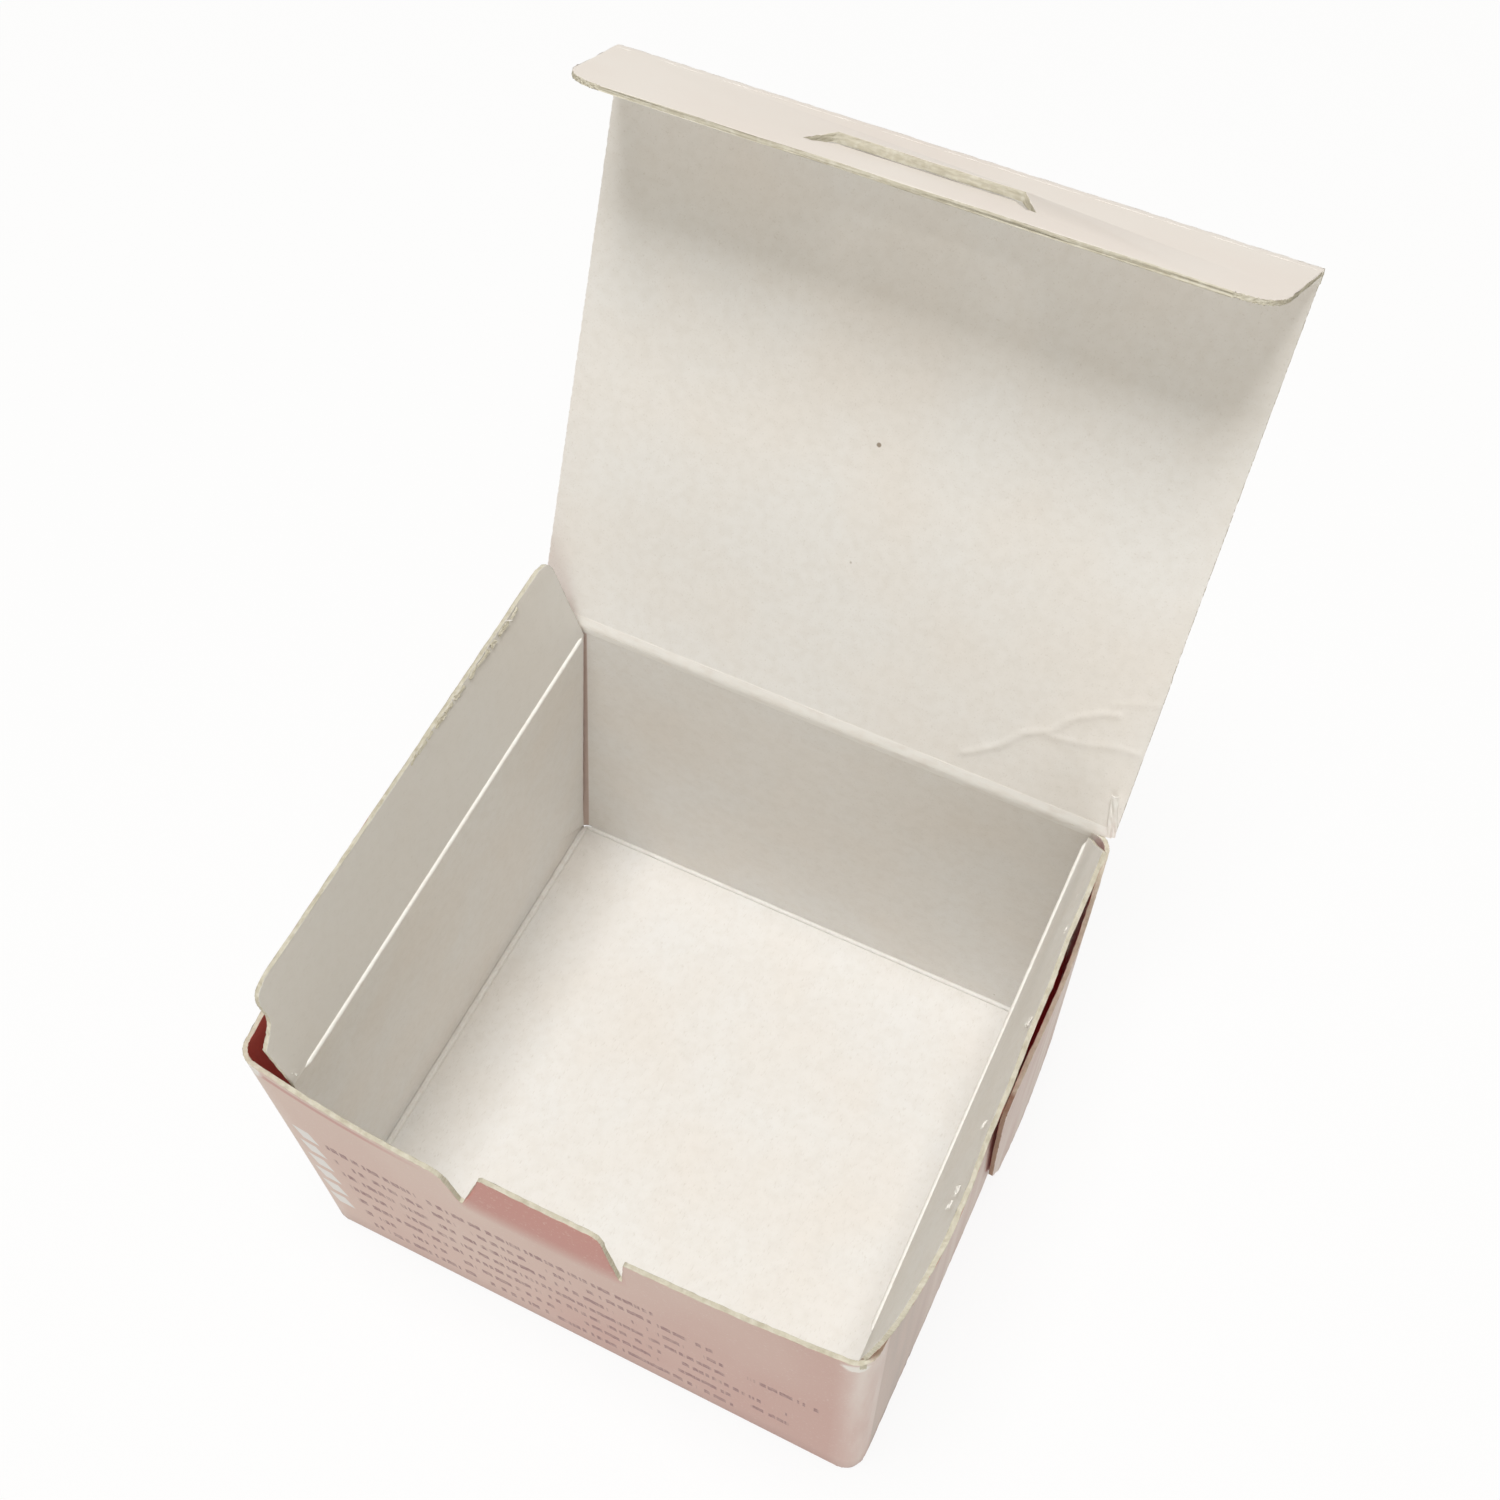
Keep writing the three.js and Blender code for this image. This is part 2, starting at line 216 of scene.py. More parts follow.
def pick(piece, kind, wanted):
    """Select the vertices, edges or faces of the piece being edited that pass the test."""
    bpy.ops.mesh.select_mode(type=kind)
    bpy.ops.mesh.select_all(action="DESELECT")
    form = bmesh.from_edit_mesh(piece.data)
    items = {"VERT": form.verts, "EDGE": form.edges, "FACE": form.faces}[kind]
    found = [item for item in items if wanted(item)]
    for item in found:
        item.select_set(True)
    form.select_flush_mode()
    bmesh.update_edit_mesh(piece.data)


def finish_editing():
    bpy.ops.object.mode_set(mode="OBJECT")


def named(name):
    piece = bpy.context.view_layer.objects.active
    piece.name = name
    piece.data.name = name
    return piece


def place(piece):
    """Turn the object's place into the mesh's place."""
    only(piece)
    bpy.ops.object.transform_apply(location=True, rotation=True, scale=True)


def copy_of_node(node, name):
    """A merged copy of a CAD node, with its triangles joined to faces."""
    source = frame["nodes"][node]
    only(source)
    bpy.ops.object.duplicate()
    piece = named(name)
    bpy.ops.object.parent_clear(type="CLEAR_KEEP_TRANSFORM")
    edit(piece)
    bpy.ops.mesh.select_all(action="SELECT")
    bpy.ops.mesh.remove_doubles(threshold=0.002 * MM)
    bpy.ops.mesh.tris_convert_to_quads(face_threshold=math.radians(4), shape_threshold=math.radians(60))
    finish_editing()
    return piece


def give(piece, *finishes):
    piece.data.materials.clear()
    for finish in finishes:
        piece.data.materials.append(finish)


def smooth(piece, degrees=35):
    only(piece)
    bpy.ops.object.shade_smooth_by_angle(angle=math.radians(degrees))


def apply_modifier(piece, kind, **settings):
    only(piece)
    bpy.ops.object.modifier_add(type=kind)
    modifier = piece.modifiers[-1]
    for name, value in settings.items():
        setattr(modifier, name, value)
    bpy.ops.object.modifier_apply(modifier=modifier.name)


def fray(piece, slot, cuts, amount, seed):
    """Cut the faces of one finish finer and let their points stray, as a cut edge of board does.
    A narrow rim is first set off on the faces beside them, so that the rest stays flat."""
    rim_width = 0.14 * MM
    edit(piece, "FACE")
    pick(piece, "FACE", lambda face: face.material_index != slot)
    bpy.ops.mesh.inset(thickness=rim_width, depth=0, use_even_offset=False)
    pick(piece, "FACE", lambda face: face.material_index == slot)
    bpy.ops.mesh.subdivide(number_cuts=cuts)
    bpy.ops.mesh.select_mode(type="VERT")
    bpy.ops.transform.vertex_random(offset=amount, uniform=1, normal=0, seed=seed)
    finish_editing()


def from_lid(x, along, above=0.0):
    """A point given on the lid: across, along it from its crease, and above its outer face."""
    rise = sizes().lid_rise
    away = Vector((0, math.cos(rise), math.sin(rise)))
    inward = Vector((0, -math.sin(rise), math.cos(rise)))
    return lid_line + Vector((x, 0, 0)) + along * away + above * inward


def turn_to_lid(piece):
    piece.rotation_euler = (sizes().lid_rise, 0, 0)
    piece.location = lid_line
    place(piece)


# Finishes


class Recipe:
    """A material's nodes, added and linked one after another."""

    def __init__(self, name, roughness):
        self.material = bpy.data.materials.new(name)
        self.material.use_nodes = True
        self.tree = self.material.node_tree
        self.shader = self.tree.nodes["Principled BSDF"]
        self.shader.inputs["Roughness"].default_value = roughness
        self.shader.inputs["Specular IOR Level"].default_value = 0.35
        coordinates = self.tree.nodes.new("ShaderNodeTexCoord")
        self.where = coordinates.outputs["Object"]
        split = self.node("ShaderNodeSeparateXYZ", Vector=self.where)
        self.x, self.y, self.z = (split.outputs[axis] for axis in "XYZ")

    def node(self, kind, settings=None, **inputs):
        node = self.tree.nodes.new(kind)
        for name, value in (settings or {}).items():
            setattr(node, name, value)
        for name, value in inputs.items():
            self.put(node.inputs[name.replace("_", " ")], value)
        return node

    def put(self, socket, value):
        if isinstance(value, bpy.types.NodeSocket):
            self.tree.links.new(value, socket)
        else:
            socket.default_value = value

    def sum(self, operation, *values):
        node = self.tree.nodes.new("ShaderNodeMath")
        node.operation = operation
        for socket, value in zip(node.inputs, values):
            self.put(socket, value)
        return node.outputs[0]

    def span(self, value, low, high, to_low=0.0, to_high=1.0):
        """The value carried from one span to another, and held at its ends."""
        node = self.node("ShaderNodeMapRange", Value=value)
        for name, number in (("From Min", low), ("From Max", high), ("To Min", to_low), ("To Max", to_high)):
            node.inputs[name].default_value = number
        return node.outputs["Result"]

    def inside(self, value, low, high, soft):
        """One between low and high, falling to nothing over soft."""
        rising = self.span(value, low - soft, low)
        falling = self.span(value, high, high + soft, 1.0, 0.0)
        return self.sum("MULTIPLY", rising, falling)

    def mix(self, share, first, second):
        node = self.tree.nodes.new("ShaderNodeMix")
        node.data_type = "RGBA"
        self.put(node.inputs["Factor"], share)
        self.put(node.inputs[6], first)
        self.put(node.inputs[7], second)
        return node.outputs[2]

    def noise(self, scale, detail=3.0, stretch=(1, 1, 1), shift=(0, 0, 0)):
        mapping = self.node("ShaderNodeMapping", Vector=self.where)
        mapping.inputs["Scale"].default_value = stretch
        mapping.inputs["Location"].default_value = shift
        noise = self.node("ShaderNodeTexNoise", Vector=mapping.outputs[0], Scale=scale, Detail=detail)
        return noise.outputs[0]

    def steps(self, value, numbers, top):
        """One number for each whole step of the value; all of them lie between zero and top."""
        ramp = self.tree.nodes.new("ShaderNodeValToRGB")
        ramp.color_ramp.interpolation = "CONSTANT"
        stops = ramp.color_ramp.elements
        while len(stops) < len(numbers):
            stops.new(0.5)
        for index, number in enumerate(numbers):
            stops[index].position = index / len(numbers)
        for index, number in enumerate(numbers):
            stops[index].color = (number / top,) * 3 + (1,)
        self.put(ramp.inputs[0], self.sum("DIVIDE", value, float(len(numbers))))
        return self.sum("MULTIPLY", ramp.outputs[0], top)

    def paint(self, value):
        self.put(self.shader.inputs["Base Color"], value)

    def bump(self, height, strength, distance):
        node = self.node("ShaderNodeBump", Height=height, Strength=strength, Distance=distance)
        self.put(self.shader.inputs["Normal"], node.outputs[0])


def rgba(colour):
    return (*colour, 1.0)


def paper_grain(recipe):
    """Fibres and soft mottling of uncoated board, felt as well as seen."""
    fibres = recipe.noise(5200, 4, (1, 0.35, 1))
    mottle = recipe.noise(900, 4, shift=(0.3, 0.1, 0))
    both = recipe.sum("ADD", recipe.sum("MULTIPLY", fibres, 0.6), recipe.sum("MULTIPLY", mottle, 0.4))
    recipe.bump(both, 0.25, 0.03 * MM)
    return fibres, mottle


def bare_finish():
    recipe = Recipe("bare_board", 0.48)
    fibres, mottle = paper_grain(recipe)
    patches = recipe.noise(70, 3)
    share = recipe.span(patches, 0.35, 0.7)
    colour = recipe.mix(share, rgba(colours().bare), rgba(colours().bare_warm))
    mottled = recipe.span(mottle, 0.4, 0.75, 0.0, 0.2)
    colour = recipe.mix(mottled, colour, mottle_shade)
    darker = recipe.span(fibres, 0.58, 0.8, 0.0, 0.42)
    colour = recipe.mix(darker, colour, fibre_shade)
    specks = recipe.node("ShaderNodeTexVoronoi", Vector=recipe.where, Scale=150.0)
    near = recipe.span(specks.outputs["Distance"], 0.03, 0.045, 1.0, 0.0)
    chance = recipe.node("ShaderNodeSeparateColor", Color=specks.outputs["Color"]).outputs[0]
    few = recipe.span(chance, 0.9, 0.91)
    colour = recipe.mix(recipe.sum("MULTIPLY", near, few), colour, speck_shade)
    # Painted shade: the left dust flap is darkened all over, where it lies in shade
    flap = recipe.sum("MULTIPLY", recipe.span(recipe.z, 47.3 * MM, 48 * MM),
                      recipe.span(recipe.x, -27 * MM, -28 * MM))
    flap = recipe.sum("MULTIPLY", flap, recipe.span(recipe.y, 30.6 * MM, 30.2 * MM))
    colour = recipe.mix(recipe.sum("MULTIPLY", flap, 0.55), colour, painted_flap_shade)
    # A reddish brown band in the corner between the back wall and the left wall, which leans in towards its
    # top
    wall_lean = -0.0894
    leaning = recipe.sum("ADD", recipe.x, recipe.sum("MULTIPLY", recipe.z, wall_lean))
    corner = recipe.sum("MULTIPLY", recipe.span(leaning, -33.22 * MM, -33.36 * MM),
                        recipe.inside(recipe.y, 30.1 * MM, 30.8 * MM, 0.2 * MM))
    corner = recipe.sum("MULTIPLY", corner, recipe.span(recipe.z, 47.5 * MM, 47.2 * MM))
    colour = recipe.mix(recipe.sum("MULTIPLY", corner, 0.55), colour, corner_band_colour)
    recipe.paint(colour)
    shine = recipe.span(recipe.noise(600, 2), 0.3, 0.7, 0.42, 0.56)
    recipe.put(recipe.shader.inputs["Roughness"], shine)
    return recipe.material


def raw_finish():
    recipe = Recipe("raw_edge", 0.9)
    plies = recipe.noise(3800, 5, (0.25, 0.25, 1.4))
    colour = recipe.mix(recipe.span(plies, 0.35, 0.7), rgba(colours().raw), ply_shade)
    fluff = recipe.noise(1500, 4)
    colour = recipe.mix(recipe.span(fluff, 0.5, 0.75, 0.0, 0.6), colour, fluff_shade)
    # Painted shade: the top edges of the right ears are darkened to brown, where they lie in shade
    ear = recipe.sum("MULTIPLY", recipe.span(recipe.x, 34.2 * MM, 34.5 * MM),
                     recipe.inside(recipe.y, -28.5 * MM, 30 * MM, 1 * MM))
    ear = recipe.sum("MULTIPLY", ear, recipe.span(recipe.z, 48.3 * MM, 48 * MM))
    colour = recipe.mix(recipe.sum("MULTIPLY", ear, 0.75), colour, painted_ear_edge_shade)
    recipe.paint(colour)
    recipe.bump(plies, 0.6, 0.08 * MM)
    return recipe.material


def crease_finish():
    recipe = Recipe("crease", 0.6)
    wear = recipe.noise(1200, 5, (0.4, 1, 1))
    colour = recipe.mix(recipe.span(wear, 0.45, 0.75), rgba(colours().crease), rgba(colours().bare_warm))
    recipe.paint(colour)
    recipe.bump(wear, 0.4, 0.05 * MM)
    return recipe.material


def print_ground(recipe):
    """Pink at the front wall's top left, rose at its lower right, in soft clouds."""
    cloud = recipe.noise(55, 3, (1, 1, 0.5))
    slant = recipe.sum("ADD", recipe.span(recipe.x, -34 * MM, 34 * MM),
                       recipe.span(recipe.z, 45 * MM, 5 * MM, 0.0, 0.5))
    slant = recipe.sum("ADD", slant, recipe.span(cloud, 0.3, 0.7, -0.25, 0.25))
    return recipe.mix(recipe.span(slant, 0.25, 1.25), rgba(colours().pink), rgba(colours().rose))


def rim_and_tab(recipe, colour):
    """Deeper print along the left of the rim and on the lock tab."""
    rim = recipe.inside(recipe.z, 46.5 * MM, 47.2 * MM, 0.5 * MM)
    rim = recipe.sum("MULTIPLY", rim, recipe.span(recipe.x, -12 * MM, -20 * MM))
    colour = recipe.mix(recipe.sum("MULTIPLY", rim, 0.8), colour, rgba(colours().tab))
    half_tab = 8.6 * MM
    across_tab = recipe.inside(recipe.x, -half_tab, half_tab, 1.2 * MM)
    tab = recipe.sum("MULTIPLY", recipe.span(recipe.z, 38.5 * MM, 43 * MM), across_tab)
    return recipe.mix(tab, colour, rgba(colours().tab))


def pale_bars(recipe, rows, down):
    """Six pale bars with slanted ends, one above the other."""
    slope, step, soft = -0.25, 0.14 * MM, 0.08 * MM
    lean = recipe.sum("ADD", recipe.x, recipe.sum("MULTIPLY", down, slope))
    lean = recipe.sum("ADD", lean, recipe.sum("MULTIPLY", recipe.sum("FLOOR", rows), step))
    bar = recipe.sum("MULTIPLY", recipe.inside(lean, -32.2 * MM, -30.1 * MM, soft),
                     recipe.inside(down, 0.05 * MM, 3.0 * MM, soft))
    return recipe.sum("MULTIPLY", bar, recipe.inside(rows, 0.0, bar_count - 0.01, 0.01))


def broken_lines(recipe, rows, down):
    """Plain broken lines beside the bars, in rows of unlike length."""
    breaks = recipe.node("ShaderNodeCombineXYZ", X=recipe.sum("MULTIPLY", recipe.x, 1500.0),
                         Y=recipe.sum("MULTIPLY", recipe.sum("FLOOR", rows), 7.3), Z=0.0)
    runs = recipe.node("ShaderNodeTexNoise", Vector=breaks.outputs[0], Scale=1.0, Detail=1.0).outputs[0]
    gaps = recipe.node("ShaderNodeTexNoise", Vector=breaks.outputs[0], Scale=0.23, Detail=0.0).outputs[0]
    dash = recipe.sum("MULTIPLY", recipe.span(runs, 0.44, 0.5), recipe.span(gaps, 0.34, 0.38))
    # Each stroke is as tall as its run is strong
    tall = recipe.sum("MULTIPLY", recipe.sum("SUBTRACT", runs, 0.5), 1.2 * MM)
    stroke = recipe.inside(recipe.sum("ADD", down, tall), 0.9 * MM, 2.2 * MM, 0.2 * MM)
    dash = recipe.sum("MULTIPLY", dash, stroke)
    dash = recipe.sum("MULTIPLY", dash, recipe.inside(rows, 0.1, len(row_ends) - 0.01, 0.01))
    past_end = recipe.sum("SUBTRACT", recipe.x, recipe.steps(rows, row_ends, longest_row))
    ended = recipe.span(past_end, 0, 0.3 * MM, 1.0, 0.0)
    begun = recipe.span(recipe.x, -28.3 * MM, -27.9 * MM)
    dash = recipe.sum("MULTIPLY", dash, recipe.sum("MULTIPLY", ended, begun))
    rubbed = recipe.span(recipe.noise(1500, 3), 0.35, 0.6, 0.45, 0.95)
    return recipe.sum("MULTIPLY", dash, rubbed)


def streaked_ears(recipe, colour):
    """The print is worn pale where the front wall turns into its ears, in streaks that run down."""
    streaks = recipe.noise(260, 4, (1, 1, 0.12))
    turned = recipe.span(recipe.sum("ABSOLUTE", recipe.x), 31.5 * MM, 34.5 * MM)
    pale = recipe.sum("MULTIPLY", turned, recipe.span(streaks, 0.35, 0.65, 0.25, 0.75))
    colour = recipe.mix(pale, colour, rgba(colours().blush))
    uneven = recipe.sum("ADD", recipe.y, recipe.sum("MULTIPLY", streaks, 0.6 * MM))
    behind = recipe.span(uneven, -27.6 * MM, -27.2 * MM)
    grey = recipe.mix(recipe.span(streaks, 0.3, 0.7, 0.2, 0.6), rgba(colours().grey), rgba(colours().pink))
    behind = recipe.sum("MULTIPLY", behind, recipe.span(recipe.y, -6 * MM, -20 * MM, 0.35, 1.0))
    colour = recipe.mix(behind, colour, grey)
    back_wall = recipe.span(recipe.y, 29.8 * MM, 30.9 * MM)
    return recipe.mix(back_wall, colour, rgba(colours().pink))


def worn_print_and_foot_shade(recipe, colour):
    """Worn through to the board at both top corners of the front wall, and painted shade along the foot,
    darker towards the floor.
    """
    for spot, reach in (((33.6, -31.6, 46.9), 2.2), ((-33.9, -31.4, 47.3), 2.6)):
        away = recipe.node("ShaderNodeVectorMath", {"operation": "DISTANCE"})
        recipe.put(away.inputs[0], recipe.where)
        away.inputs[1].default_value = Vector(spot) * MM
        tatter = recipe.sum("MULTIPLY", recipe.noise(900, 3), 1.4 * MM)
        ragged = recipe.sum("ADD", away.outputs["Value"], tatter)
        worn = recipe.span(ragged, reach * MM, (reach - 0.5) * MM, 0, 0.9)
        colour = recipe.mix(worn, colour, rgba(colours().crease))
    # Painted shade: darker towards the floor along the foot
    for reach, share in ((4.5 * MM, 0.25), (1.2 * MM, 0.5)):
        foot = recipe.span(recipe.z, reach, 0.2 * MM, 0.0, share)
        colour = recipe.mix(foot, colour, painted_foot_shade)
    speckle = recipe.span(recipe.noise(3000, 3), 0.6, 0.72, 0.0, 0.25)
    return recipe.mix(speckle, colour, rgba(colours().blush))


def print_finish():
    """Front wall, corners and ears, with everything that is printed on them."""
    recipe = Recipe("print", 0.5)
    colour = rim_and_tab(recipe, print_ground(recipe))
    rows = recipe.sum("DIVIDE", recipe.sum("SUBTRACT", rows_top, recipe.z), row_pitch)
    down = recipe.sum("MULTIPLY", recipe.sum("FRACT", rows), row_pitch)
    front = recipe.span(recipe.y, -30.2 * MM, -30.6 * MM)
    bars = recipe.sum("MULTIPLY", pale_bars(recipe, rows, down), front)
    colour = recipe.mix(bars, colour, rgba(colours().bars))
    lines = recipe.sum("MULTIPLY", broken_lines(recipe, rows, down), front)
    colour = recipe.mix(lines, colour, rgba(colours().dashes))
    colour = worn_print_and_foot_shade(recipe, streaked_ears(recipe, colour))
    recipe.paint(colour)
    recipe.bump(recipe.noise(4200, 4), 0.15, 0.02 * MM)
    return recipe.material


def blush_finish():
    recipe = Recipe("pale_print", 0.45)
    cloud = recipe.noise(60, 3)
    colour = recipe.mix(recipe.span(cloud, 0.35, 0.7, 0.0, 0.16), rgba(colours().blush), rgba(colours().pink))
    grain = recipe.noise(4200, 4)
    colour = recipe.mix(recipe.span(grain, 0.55, 0.75, 0.0, 0.15), colour, pale_grain_shade)
    recipe.paint(colour)
    recipe.bump(grain, 0.15, 0.02 * MM)
    return recipe.material


def gap_print_and_shade_finish():
    # Deep red: partly print on the side walls' outer faces, partly painted red shade on the ears' bare inner
    # faces in the side gaps
    recipe = Recipe("deep_print_and_gap_shade", 0.55)
    grain = recipe.noise(2500, 4)
    colour = recipe.mix(recipe.span(grain, 0.4, 0.7, 0.0, 0.4), rgba(colours().gap_print_and_shade), deep_grain_shade)
    recipe.paint(colour)
    # Painted glow: a faint red emission stands in for red light that comes through the thin board and back
    # and forth in the gap
    recipe.shader.inputs["Emission Color"].default_value = painted_gap_glow
    recipe.shader.inputs["Emission Strength"].default_value = 0.015
    recipe.bump(grain, 0.2, 0.02 * MM)
    return recipe.material


finish_makers = {
    "print": print_finish,
    "bare_board": bare_finish,
    "raw_edge": raw_finish,
    "crease": crease_finish,
    "pale_print": blush_finish,
    "deep_print_and_gap_shade": gap_print_and_shade_finish,
}


def finish(name):
    return bpy.data.materials.get(name) or finish_makers[name]()


# Faces sorted by what they are on the board


def sort_faces(piece, kind_of_skin):
    """Cut edges get the second finish; every face of the skin gets the one that kind_of_skin says.
    A face is on a cut edge where the board behind it is much deeper than the board is thick."""
    form = bmesh.new()
    form.from_mesh(piece.data)
    tree = BVHTree.FromBMesh(form)
    board = sizes().board
    below_rim = 46.8 * MM
    kinds = []
    for face in form.faces:
        middle = face.calc_center_median()
        depth = tree.ray_cast(middle - face.normal * 0.02 * board, -face.normal, 20 * board)[3]
        is_bend = min(abs(face.normal.x), abs(face.normal.y)) > 0.2 and middle.z < below_rim
        is_cut = (depth is None or depth > 1.6 * board) and not is_bend
        kinds.append(1 if is_cut else kind_of_skin(middle, face.normal))
    form.free()
    for polygon, kind in zip(piece.data.polygons, kinds):
        polygon.material_index = kind


def right_flap_lean(y, z):
    """How far in the right dust flap leans at one place."""
    return lean_step * sum(z > height for height in lean_heights) * sum(y > place for place in lean_places)


class CARTON_OT_tray(bpy.types.Operator):
    """Dress the tray: walls, ears, lock tab and dust flaps, with frayed cut edges"""

    bl_idname = "carton.tray"
    bl_label = "Tray"

    def execute(self, context):
        piece = copy_of_node("carton_tray", "tray")
        give(piece, finish("print"), finish("raw_edge"), finish("bare_board"), finish("deep_print_and_gap_shade"))
        outside, inside, gap = 0, 2, 3
        foot = 1.0 * MM
        ear_side, bend_side, bend_front = 34.6 * MM, 33.7 * MM, -29.5 * MM
        side_wall_end = 29.9 * MM

        def kind(middle, normal):
            if abs(normal.z) > 0.9:
                return inside if normal.z > 0 else outside
            outward = normal.x * middle.x + normal.y * middle.y > 0
            in_bend = abs(middle.x) > bend_side and middle.y < bend_front
            on_ear = (abs(middle.x) > ear_side or in_bend) and middle.z < lid_line.z
            # The ears' bare inner faces get the deep red, as painted red shade in the side gaps
            if on_ear:
                return outside if outward else gap
            if abs(normal.x) > 0.6 and abs(middle.y) < side_wall_end and outward:
                return gap
            if middle.z < foot and normal.z > 0.1:
                return inside
            return outside if outward else inside

        sort_faces(piece, kind)
        right_of = 31.5 * MM
        edit(piece)
        for low in lean_heights:
            for near in lean_places:
                pick(piece, "VERT", lambda vertex: vertex.co.x > right_of
                     and vertex.co.z > low and vertex.co.y > near)
                bpy.ops.transform.translate(value=(-lean_step, 0, 0))
        finish_editing()
        fray(piece, 1, 5, sizes().fraying, 4)
        smooth(piece)
        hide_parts("carton_tray")
        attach(piece, "tray")
        return {"FINISHED"}


def distance_to_line(point, line):
    nearest = math.inf
    for first, second in zip(line, line[1:]):
        first, second = Vector(first) * MM, Vector(second) * MM
        run = second - first
        share = min(max((point - first).dot(run) / run.length_squared, 0), 1)
        nearest = min(nearest, (point - first - share * run).length)
    return nearest


class CARTON_OT_lid(bpy.types.Operator):
    """Model the lid with its wrinkles and frayed sides"""

    bl_idname = "carton.lid"
    bl_label = "Lid"

    def execute(self, context):
        own = sizes()
        gap = 0.3 * MM
        length = own.lid_length - gap
        deselect_all()
        bpy.ops.mesh.primitive_grid_add(
            x_subdivisions=100, y_subdivisions=90, size=1,
            location=(0, gap + length / 2, own.board / 2))
        piece = named("lid")
        piece.scale = (own.lid_width, length, 1)
        place(piece)
        edit(piece)
        pick(piece, "FACE", lambda face: face.calc_center_median().x > 12 * MM
             and face.calc_center_median().y < 20 * MM)
        bpy.ops.mesh.subdivide(number_cuts=2)
        for line, share in zip(wrinkles, (1.0, 0.6, 0.35)):
            for reach, part in ((1.1, 0.15), (0.6, 0.2), (0.35, 0.3), (0.18, 0.35)):
                pick(piece, "VERT", lambda vertex: distance_to_line(vertex.co.xy, line) < reach * MM)
                bpy.ops.transform.translate(value=(0, 0, own.wrinkle_height * share * part))
        pick(piece, "VERT", lambda vertex: vertex.co.y > gap + 0.1 * MM)
        bpy.ops.mesh.vertices_smooth(factor=0.5, repeat=1)
        finish_editing()
        apply_modifier(piece, "SOLIDIFY", thickness=own.board, offset=0.0)
        give(piece, finish("pale_print"), finish("raw_edge"), finish("bare_board"))
        for polygon in piece.data.polygons:
            up = polygon.normal.z
            polygon.material_index = 2 if up > 0.5 else 0 if up < -0.5 else 1
        fray(piece, 1, 2, own.fraying, 9)
        turn_to_lid(piece)
        smooth(piece)
        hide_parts("lid_panel")
        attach(piece, "lid")
        return {"FINISHED"}


class CARTON_OT_tuck(bpy.types.Operator):
    """Dress the tuck flap with its slit and its frayed free edge"""

    bl_idname = "carton.tuck"
    bl_label = "Tuck flap"

    def execute(self, context):
        piece = copy_of_node("tuck_flap", "tuck")
        give(piece, finish("pale_print"), finish("raw_edge"), finish("bare_board"))
        away = (from_lid(0, 1) - from_lid(0, 0)).normalized()

        def kind(middle, normal):
            return 0 if normal.dot(away) > 0 else 2

        sort_faces(piece, kind)
        self.open_slit(piece, away)
        fray(piece, 1, 7, 1.6 * sizes().fraying, 6)
        smooth(piece)
        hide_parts("tuck_flap")
        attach(piece, "tuck")
        return {"FINISHED"}

    def open_slit(self, piece, away):
        """Pull the slit's lips apart: each lip's place from the crease, its face, and its move."""
        inward = (from_lid(0, 0, 1) - from_lid(0, 0)).normalized()
        crease = from_lid(0, sizes().lid_length, 0.5 * sizes().board)
        half_slit = 9.3 * MM
        lips = ((6.9, 7.5, True, 0.5 * away + 0.1 * inward), (6.9, 7.5, False, 0.15 * away + 0.3 * inward),
                (7.9, 8.4, True, -0.3 * away - 0.1 * inward), (7.9, 8.4, False, -0.3 * away - 0.1 * inward))
        edit(piece)
        spots = []
        for low, high, outer, move in lips:
            pick(piece, "VERT", lambda vertex: abs(vertex.co.x) < half_slit
                 and low * MM < (vertex.co - crease).dot(inward) < high * MM
                 and ((vertex.co - crease).dot(away) > 0) == outer)
            form = bmesh.from_edit_mesh(piece.data)
            spots.append(({vertex.index for vertex in form.verts if vertex.select}, move))
        for chosen, move in spots:
            pick(piece, "VERT", lambda vertex: vertex.index in chosen)
            bpy.ops.transform.translate(value=move * MM)
        finish_editing()


def folded_strip(name, width, path, cuts, stray, thickness, seed):
    """A strip of board that is folded along a path: an edge drawn across, then extruded on."""
    deselect_all()
    bpy.ops.mesh.primitive_plane_add(size=1, location=(0, 0, 0))
    piece = named(name)
    edit(piece, "VERT")
    pick(piece, "VERT", lambda vertex: vertex.co.y > 0)
    bpy.ops.mesh.delete(type="VERT")
    bpy.ops.mesh.select_all(action="SELECT")
    bpy.ops.transform.resize(value=(width, 1, 1))
    first = path[0]
    bpy.ops.transform.translate(value=(0, first[0] + 0.5, first[1]))
    bpy.ops.mesh.subdivide(number_cuts=cuts)
    for before, after in zip(path, path[1:]):
        step = (0, after[0] - before[0], after[1] - before[1])
        bpy.ops.mesh.extrude_region_move(TRANSFORM_OT_translate={"value": step})
    bpy.ops.mesh.select_all(action="SELECT")
    bpy.ops.transform.vertex_random(offset=stray, uniform=1, normal=0, seed=seed)
    bpy.ops.mesh.normals_make_consistent(inside=False)
    finish_editing()
    apply_modifier(piece, "SOLIDIFY", thickness=thickness, offset=0.0)
    return piece


